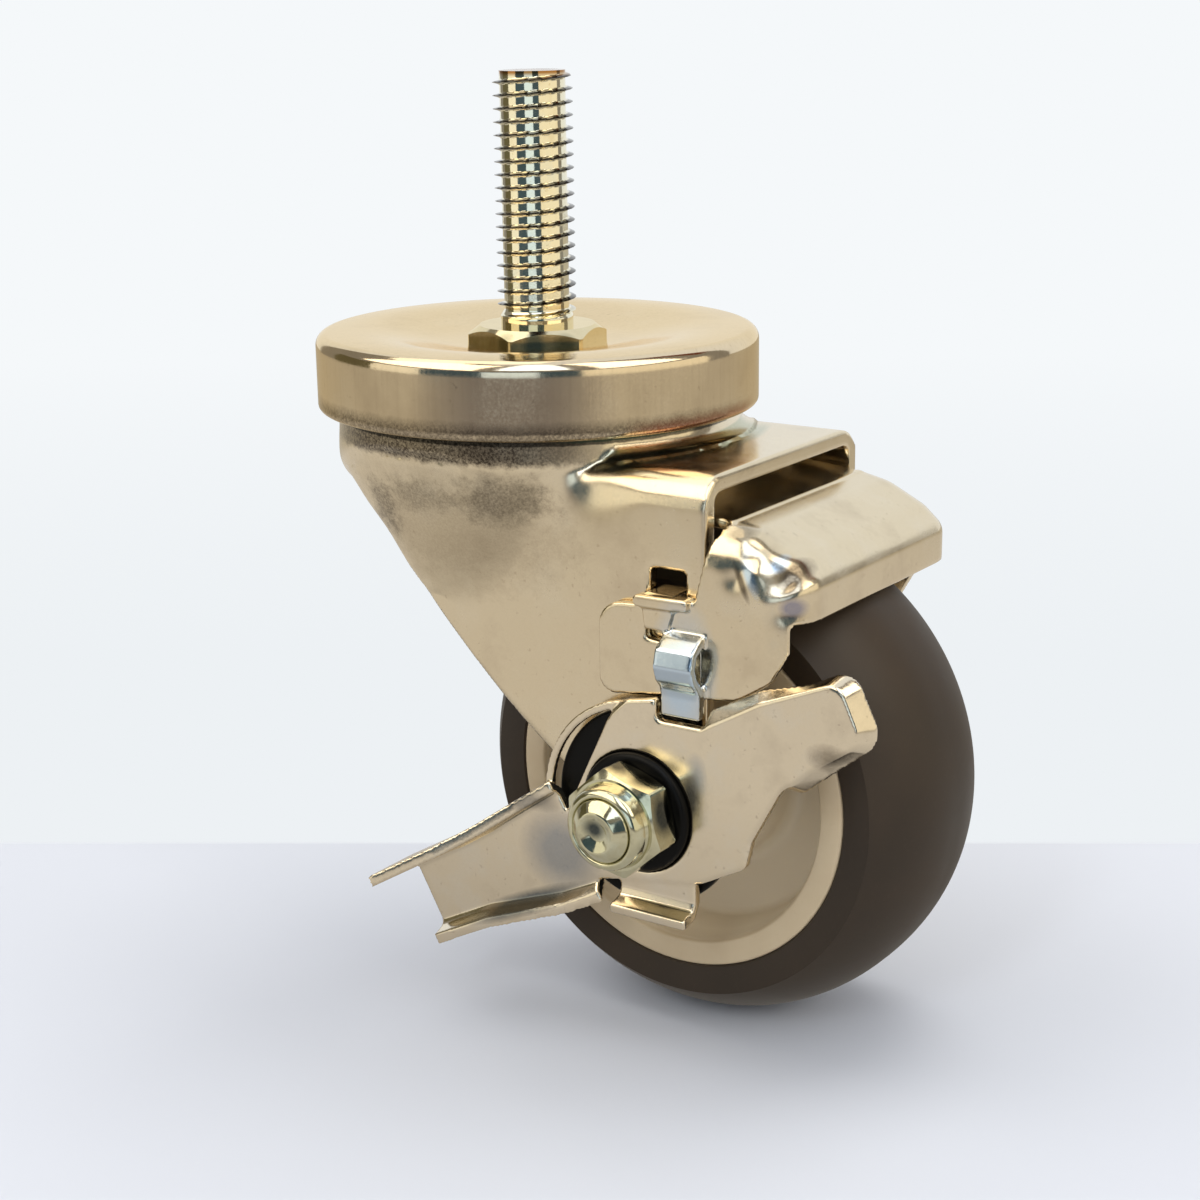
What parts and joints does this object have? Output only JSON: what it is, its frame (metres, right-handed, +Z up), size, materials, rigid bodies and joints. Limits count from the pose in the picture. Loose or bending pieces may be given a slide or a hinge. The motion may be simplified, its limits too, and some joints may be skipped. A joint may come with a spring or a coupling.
{
  "type": "threaded stem castor",
  "caption": "Swivel castor with a threaded stem and hex collar, pressed cap and fork, crowned rubber wheel, and a pedal-worked top-lock brake shoe",
  "frame": {"origin": "On the stem's axis at the top of its hex collar, the face that seats against the furniture", "axes": "+Z up along the threaded stem, +X along the trail towards the wheel, -Y the side with the brake pedal"},
  "size_m": [0.107, 0.0717, 0.141],
  "materials": {
    "zinc_sheet": "satin zinc plate, warm tint",
    "zinc_hardware": "bright zinc plate",
    "yellow_zinc": "yellow passivated zinc",
    "ball_steel": "polished",
    "black_plastic": "satin black",
    "bush_plastic": "natural nylon",
    "core_plastic": "satin cream",
    "tread_rubber": "matte grey-brown"
  },
  "bodies": {
    "stem_and_cap": {"threaded_stem": "yellow_zinc", "swivel_cap": "zinc_sheet", "lower_race": "zinc_sheet"},
    "ball_rows": {"load_balls": "ball_steel", "thrust_balls": "ball_steel"},
    "fork_assembly": {"fork": "zinc_sheet", "axle_bolt": "zinc_hardware", "lock_nut": "zinc_hardware", "hub_bushing": "black_plastic", "head_washer": "zinc_hardware", "axle_sleeve": "zinc_hardware", "near_hub_washer": "zinc_hardware", "far_hub_washer": "zinc_hardware"},
    "wheel": {"near_wheel_bush": "bush_plastic", "far_wheel_bush": "bush_plastic", "wheel_core": "core_plastic", "tyre": "tread_rubber"},
    "pedal": {"brake_pedal": "zinc_sheet"},
    "shoe": {"brake_shoe": "zinc_sheet"}
  },
  "joints": [
    {"name": "swivel", "type": "hinge", "parent": "stem_and_cap", "child": "fork_assembly", "pos_m": [0, 0, 0], "axis": [0, 0, 1], "continuous": true},
    {"name": "ball_roll", "type": "hinge", "parent": "stem_and_cap", "child": "ball_rows", "pos_m": [0, 0, 0], "axis": [0, 0, 1], "continuous": true},
    {"name": "wheel_spin", "type": "hinge", "parent": "fork_assembly", "child": "wheel", "pos_m": [0.03473, 0, -0.0648], "axis": [0, 1, 0], "continuous": true},
    {"name": "pedal_rock", "type": "hinge", "parent": "fork_assembly", "child": "pedal", "pos_m": [0.03473, 0, -0.0648], "axis": [0, 1, 0], "range_deg": [0, 8]},
    {"name": "shoe_tilt", "type": "hinge", "parent": "fork_assembly", "child": "shoe", "pos_m": [0.03763, 0, -0.0332], "axis": [0, 1, 0], "range_deg": [-8, 0]}
  ],
  "couplings": [
    {"joint": "ball_roll", "follows": "swivel", "ratio": 0.5},
    {"joint": "shoe_tilt", "follows": "pedal_rock", "ratio": -1}
  ]
}
